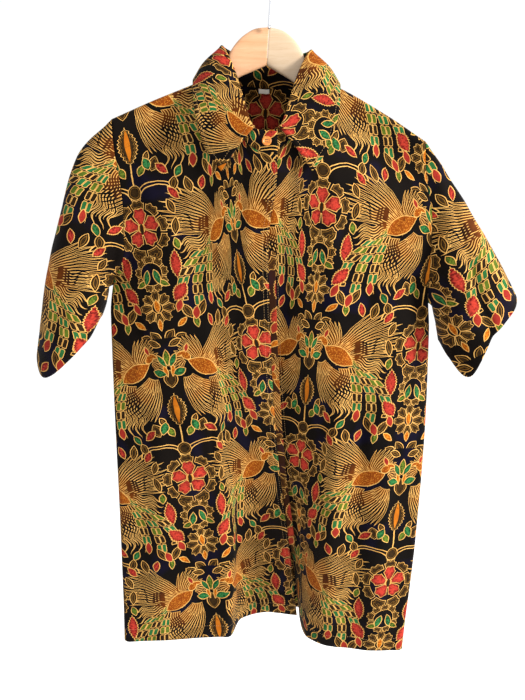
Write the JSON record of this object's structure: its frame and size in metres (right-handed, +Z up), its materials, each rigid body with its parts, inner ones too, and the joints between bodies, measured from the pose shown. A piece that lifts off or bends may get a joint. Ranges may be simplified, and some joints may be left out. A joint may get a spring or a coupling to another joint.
{
  "type": "short-sleeved batik shirt on a wooden hanger",
  "caption": "Short-sleeved collared batik cotton shirt, fastened at the neck only and hanging open below, on a contoured wooden hanger with a steel hook.",
  "frame": {"origin": "inner top of the hanger's hook, where a rail carries it", "axes": "+Z up, the shirt's front faces -Y, the wearer's left side is at +X"},
  "size_m": [0.6195, 0.1448, 0.9217],
  "materials": {
    "batik_cotton": "printed cotton poplin, matt",
    "batik_cotton_inside": "printed cotton poplin, inner side",
    "button_shell": "amber brown, polished",
    "white_tape": "plain woven tape",
    "beech": "pale, satin lacquer",
    "steel_wire": "bright wire"
  },
  "bodies": {
    "root": {"front_right": "batik_cotton", "front_left": "batik_cotton", "back": "batik_cotton", "sleeve_right": "batik_cotton", "sleeve_left": "batik_cotton", "collar_stand": "batik_cotton", "collar_leaf": "batik_cotton", "placket_fly": "batik_cotton_inside", "neck_button": "button_shell", "neck_tab": "white_tape", "hanger_right": "beech", "hanger_left": "beech", "hanger_hook": "steel_wire"}
  },
  "joints": []
}
